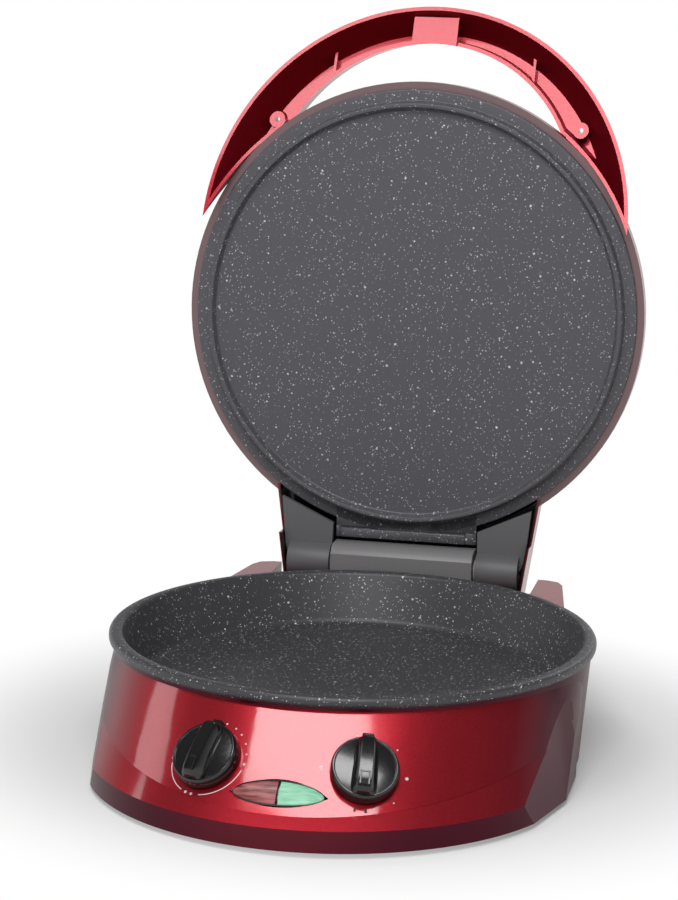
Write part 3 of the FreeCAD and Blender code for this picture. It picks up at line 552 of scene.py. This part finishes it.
def knob_shells(matrix):
    """Disc, finger bar, the bar's window frame and the pointer tab, in a knob's own frame."""
    disc = eased([(0, 0.95, 0), (20.75, 0.95, 0.4), (20.3, 6.6, 2.2), (19.4, 8.6, 0.8),
                  (18.5, 8.6, 0.3), (18.0, 8.1, 0.3), (0, 10.6, 0)], 5)
    points = []
    for station in range(BAR_STATIONS):
        along = math.sin((station / (BAR_STATIONS - 1) - 0.5) * math.pi)
        y = BAR_HALF * along
        slim = 1 - 0.35 * along ** 10
        top = BAR_TOP - 1.2 * along ** 2 - 2.6 * along ** 12
        foot = (7.4 - 0.03 * y) * slim
        crest = (4.2 - 0.02 * y) * slim
        ring = ((-foot, BAR_LOW), (-foot, 9.5), (-foot + 0.8, 10.0), (-crest - 0.2, top - 0.7),
                (-crest + 0.6, top), (crest - 0.6, top), (crest + 0.2, top - 0.7),
                (foot - 0.8, 10.0), (foot, 9.5), (foot, BAR_LOW))
        points += [matrix @ (Vector((x, y, z)) / 1000) for x, z in ring]
    count = len(ring)
    faces = ring_faces(BAR_STATIONS, count)
    faces.append(tuple(range(count)))
    faces.append(tuple(range(len(points) - count, len(points))))
    shells = [turned(disc, matrix, 96), (points, faces)]
    for left, right, front in ((-3.2, -2.0, -15.6), (2.0, 3.2, -15.6), (-3.2, 3.2, -7.8)):
        shells.append(slab(matrix, (left, front, 15.0), (right, -6.6, 16.9), 0.25))
    shells.append(slab(matrix, (-3.6, 17.0, 2.0), (3.6, 22.7, 7.6), 0.8))
    return shells


knob_black = moulded("KnobBlack", (0.010, 0.010, 0.011), 0.14, coat=0.15, grain=500.0, depth=0.02)
for side, tag, turn in ((-1, "timer", 0.0), (1, "thermostat", -8.0)):
    spun = control_frame(side) @ Matrix.Rotation(math.radians(turn), 4, "Z")
    add_piece(tag.title() + "KnobCap", knob_shells(spun), tag + "_dial", knob_black,
              tag + "_knob", 30.0)


# ---- Indicator window --------------------------------------------------------------------
# A pointed oval window set in the panel in a thin black frame: a dark red lens on the left
# and a glowing mint one on the right, each slightly domed, with a black bar between them.
WINDOW_HEIGHT = 32.5
WINDOW_SHIFT = -0.3         # from CONTROL_X to the middle of the window
LENS_HALF = 27.4
LENS_HIGH = 7.45
LENS_COLUMNS = 28
LENS_ROWS = 12
LENS_FOOT = -1.6
TIP_TURN = math.pi / 2      # the right tip, as a turn round the oval from its middle
BAR_TURN = 0.0255           # where the lenses stop beside the bar, as a turn round the oval
window_frame = Matrix.Translation(panel_spot(CONTROL_X, WINDOW_HEIGHT)) @ Matrix.Rotation(
    PANEL_TILT, 4, "X")


def oval_half(x, half_length, half_height):
    """Half the height of a pointed oval at this x."""
    return half_height * max(0.0, 1 - (x / half_length) ** 2) ** 0.55


def on_window(x, y, lift):
    """Local window point lifted off the curved panel, in metres."""
    across = x + WINDOW_SHIFT
    sag = PANEL_RADIUS - math.sqrt(PANEL_RADIUS ** 2 - across ** 2)
    return window_frame @ (Vector((across, y, lift - sag * math.sin(PANEL_TILT))) / 1000)


def lens_shell(start, end):
    """Domed lens between two turns round the oval, from -TIP_TURN on the left to TIP_TURN."""
    points = []
    for domed in (False, True):
        for column in range(LENS_COLUMNS + 1):
            x = LENS_HALF * math.sin(start + (end - start) * column / LENS_COLUMNS)
            half = max(oval_half(x, LENS_HALF, LENS_HIGH), 0.02)
            for row in range(LENS_ROWS + 1):
                y = half * math.sin(math.pi * (row / LENS_ROWS - 0.5))
                dome = math.sqrt(max(0.0, 1 - (y / half) ** 2)) * min(1.0, half / 4.0)
                points.append(on_window(x, y, 0.25 + 0.75 * dome if domed else LENS_FOOT))
    line = LENS_ROWS + 1
    layer = line * (LENS_COLUMNS + 1)
    faces = []
    for column in range(LENS_COLUMNS):
        for row in range(LENS_ROWS):
            for first in (column * line + row, layer + column * line + row):
                faces.append((first, first + 1, first + line + 1, first + line))
        for first in (column * line, column * line + LENS_ROWS):
            faces.append((first, first + line, first + line + layer, first + layer))
    for row in range(LENS_ROWS):
        for first in (row, LENS_COLUMNS * line + row):
            faces.append((first, first + 1, first + 1 + layer, first + layer))
    return points, faces


def frame_shell(count=120):
    """Thin oval ring round the lenses, from rows of half length, half height and lift."""
    rings = ((28.0, 8.5, LENS_FOOT), (28.0, 8.5, 0.35), (27.9, 8.2, 0.55),
             (27.75, 7.8, 0.5), (27.6, 7.6, 0.2), (27.6, 7.6, LENS_FOOT))
    points = []
    for length, height, lift in rings:
        for step in range(count):
            angle = 2 * math.pi * step / count
            x = length * math.cos(angle)
            y = math.copysign(oval_half(x, length, height), math.sin(angle))
            points.append(on_window(x, y, lift))
    return points, ring_faces(len(rings), count, wrap=True)


def lens_finish(name, deep, bright, glow_colour, power):
    """Tinted lens with long streaks where the lamp behind it shows through the ribs."""
    material, tree = blank_material(name)
    spot = grow(tree, "ShaderNodeTexCoord").outputs["Object"]
    lay = grow(tree, "ShaderNodeMapping", {"Vector": spot, "Scale": (60.0, 420.0, 420.0)})
    streak = grow(tree, "ShaderNodeTexNoise", {"Vector": lay.outputs["Vector"], "Scale": 1.0,
                                               "Detail": 2.0})
    lit = remapped(tree, streak.outputs["Fac"], 0.35, 0.65)
    skin = grow(tree, "ShaderNodeBsdfPrincipled", {
        "Roughness": 0.32, "Specular IOR Level": 0.3, "Base Color": mixed(tree, lit, deep, bright),
        "Emission Color": glow_colour, "Emission Strength": power})
    grow(tree, "ShaderNodeOutputMaterial", {"Surface": skin.outputs[0]})
    return material


lens_red = lens_finish("LensRed", (0.16, 0.03, 0.03, 1), (0.50, 0.16, 0.16, 1), (0, 0, 0, 1), 0.0)
lens_green = lens_finish("LensGreen", (0.16, 0.48, 0.30, 1), (0.38, 0.72, 0.52, 1),
                         (0.25, 0.9, 0.5, 1), 0.10)
bezel_black = moulded("BezelBlack", (0.014, 0.006, 0.007), 0.25, coat=0.5)
add_piece("PowerLens", [lens_shell(-TIP_TURN, -BAR_TURN)], "base", lens_red, "power_lens")
add_piece("ReadyLens", [lens_shell(BAR_TURN, TIP_TURN)], "base", lens_green, "ready_lens")
middle_bar = slab(window_frame, (-0.65, -7.2, -1.5), (0.65, 7.2, 0.9), 0.2)
add_piece("WindowFrame", [frame_shell(), middle_bar], "base", bezel_black,
          "indicator_bezel")


# ---- Printed dial marks --------------------------------------------------------------------
# Pale pad-printed dots, arcs and a star round the two knobs, and two dark bars, all a hair
# above the paint. The dots are instances on points that lie on the curved panel.
TIMER_DIAL = 24.2
THERMOSTAT_DIAL = 25.2
STAR_DIAL = 25.6
STAR_WAIST = 0.42           # length of the star's inner corners as a share of its tips
BARS_DIAL = 24.4
INK_BELOW = -0.15
INK_ABOVE = 0.1


def dial_spot(side, radius, degrees, lift):
    """Point on the panel at this radius and angle round a knob, in metres.

    It halves the span from 8 mm under the knob's own plane to 4 mm over it until it is there.
    """
    matrix = control_frame(side)
    x = radius * math.cos(math.radians(degrees)) / 1000
    y = radius * math.sin(math.radians(degrees)) / 1000
    low, high = -0.008, 0.004
    for _ in range(40):
        middle = (low + high) / 2
        spot = matrix @ Vector((x, y, middle)) * 1000
        if math.hypot(spot.x, spot.y - panel_axis(spot.z)) > PANEL_RADIUS:
            high = middle
        else:
            low = middle
    return matrix @ Vector((x, y, middle + lift / 1000))


def arc_shell(side, start, end, radius, width, steps=40):
    """Strip of ink along part of a circle round a knob, between two angles in degrees."""
    points = []
    for step in range(steps + 1):
        degrees = start + (end - start) * step / steps
        for edge, lift in ((-1, INK_BELOW), (1, INK_BELOW), (1, INK_ABOVE), (-1, INK_ABOVE)):
            points.append(dial_spot(side, radius + edge * width / 2, degrees, lift))
    faces = ring_faces(steps + 1, 4)
    faces.append((0, 1, 2, 3))
    faces.append(tuple(range(steps * 4, steps * 4 + 4)))
    return points, faces


def star_shell(side, degrees, radius, size, tips=8):
    """Star of ink with its centre at this angle and radius round a knob."""
    centre = Vector((math.cos(math.radians(degrees)), math.sin(math.radians(degrees)))) * radius
    count = tips * 2
    points = []
    for lift in (INK_BELOW, INK_ABOVE):
        for step in range(count):
            length = size if step % 2 else size * STAR_WAIST
            angle = math.pi * step / tips
            spot = centre + Vector((math.cos(angle), math.sin(angle))) * length
            points.append(dial_spot(side, spot.length, math.degrees(math.atan2(spot.y, spot.x)), lift))
    faces = ring_faces(2, count)
    faces += [tuple(range(count)), tuple(range(count, 2 * count))]
    return points, faces


def dots_tree(material):
    """Small discs instanced on the points handed in, and the sockets of its three inputs."""
    tree = bpy.data.node_groups.new("PrintedDots", "GeometryNodeTree")
    tree.interface.new_socket("Geometry", in_out="INPUT", socket_type="NodeSocketGeometry")
    radius = tree.interface.new_socket("Dot Radius", in_out="INPUT", socket_type="NodeSocketFloat")
    thick = tree.interface.new_socket("Ink Thickness", in_out="INPUT", socket_type="NodeSocketFloat")
    tilt = tree.interface.new_socket("Tilt", in_out="INPUT", socket_type="NodeSocketRotation")
    tree.interface.new_socket("Geometry", in_out="OUTPUT", socket_type="NodeSocketGeometry")
    given = grow(tree, "NodeGroupInput").outputs
    disc = grow(tree, "GeometryNodeMeshCylinder", {
        "Vertices": 20, "Radius": given["Dot Radius"], "Depth": given["Ink Thickness"]})
    spread = grow(tree, "GeometryNodeInstanceOnPoints", {
        "Points": given["Geometry"], "Instance": disc.outputs["Mesh"], "Rotation": given["Tilt"]})
    real = grow(tree, "GeometryNodeRealizeInstances", {"Geometry": spread.outputs["Instances"]})
    paint = grow(tree, "GeometryNodeSetMaterial", {"Geometry": real.outputs["Geometry"],
                                                   "Material": material})
    grow(tree, "NodeGroupOutput", {"Geometry": paint.outputs["Geometry"]})
    return tree, (radius, thick, tilt)


ink_white = moulded("InkWhite", (0.95, 0.70, 0.72), 0.5, grain=3000.0, depth=0.1)
ink_dark = moulded("InkDark", (0.05, 0.006, 0.012), 0.5, grain=3000.0, depth=0.1)
ink_tree, ink_inputs = dots_tree(ink_white)
# Each row: piece, side of the knob, radius of the ring, angles in degrees, a dot's radius in metres.
dial_dots = (("TimerDots", -1, TIMER_DIAL, (170, 178.5, 187, 256, 266, 2, 97), 0.0009),
             ("TimerTicks", -1, TIMER_DIAL, (18, 35, 52, 66, 83), 0.0006),
             ("ThermostatDots", 1, THERMOSTAT_DIAL, (-8,), 0.0010),
             ("ThermostatTicks", 1, THERMOSTAT_DIAL, (36, -50, 97, 209), 0.0005))
for name, side, radius, angles, dot_radius in dial_dots:
    cloud = bpy.data.meshes.new(name + "Points")
    cloud.from_pydata([dial_spot(side, radius, degrees, 0.0) for degrees in angles], [], [])
    carrier = bpy.data.objects.new(name + "Points", cloud)
    scene.collection.objects.link(carrier)
    maker = carrier.modifiers.new("Dots", "NODES")
    maker.node_group = ink_tree
    dot_values = (dot_radius, (INK_ABOVE - INK_BELOW) / 1000, control_frame(side).to_euler())
    for socket, value in zip(ink_inputs, dot_values):
        maker[socket.identifier] = value
    printed = bpy.data.meshes.new_from_object(carrier.evaluated_get(
        bpy.context.evaluated_depsgraph_get()))
    carrier.modifiers.clear()
    bpy.data.objects.remove(carrier)
    item = bpy.data.objects.new(name, printed)
    scene.collection.objects.link(item)
    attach(item, "base")
timer_arcs = [arc_shell(-1, start, end, TIMER_DIAL, 0.6) for start, end in ((195, 247), (278, 353))]
add_piece("TimerArcs", timer_arcs, "base", ink_white)
add_piece("ThermostatStar", [star_shell(1, 170, STAR_DIAL, 2.0)], "base", ink_white)
pointer_bars = [arc_shell(1, start, start + 3.2, BARS_DIAL, 3.0, 4) for start in (-108, -93)]
add_piece("ThermostatBars", pointer_bars, "base", ink_dark)


# ---- Floor pan, feet, heaters and the inner works ------------------------------------------
# The floor pan on its rubber feet, the tube heaters with their pans, posts and spacers, and the
# works behind the panel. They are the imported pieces, each with its own finish.
for finish, names in (
        (moulded("FloorBlack", (0.02, 0.02, 0.021), 0.6), ("bottom_cover", "reflector_posts")),
        (moulded("HeaterSteel", (0.25, 0.22, 0.2), 0.45, metal=0.9),
         ("lower_heating_element", "upper_heating_element")),
        (moulded("PanSteel", (0.6, 0.6, 0.6), 0.3, metal=1.0), ("lower_reflector", "upper_reflector")),
        (moulded("PostAluminium", (0.7, 0.7, 0.7), 0.4, metal=1.0),
         ("plate_spacers", "upper_spacers")),
        (moulded("HousingWhite", (0.6, 0.58, 0.53), 0.5),
         ("timer_mechanism", "thermostat", "lamp_holder", "terminal_block")),
        (moulded("RubberBlack", (0.015, 0.015, 0.015), 0.8), ("rubber_feet",)),
        (moulded("BellBrass", (0.75, 0.6, 0.25), 0.25, metal=1.0), ("timer_bell",)),
        (moulded("LampGlass", (0.8, 0.6, 0.45), 0.1, coat=1.0), ("neon_lamps",)),
        (moulded("GlandRubber", (0.02, 0.02, 0.02), 0.7), ("cable_gland",))):
    for name in names:
        dress(name, finish)
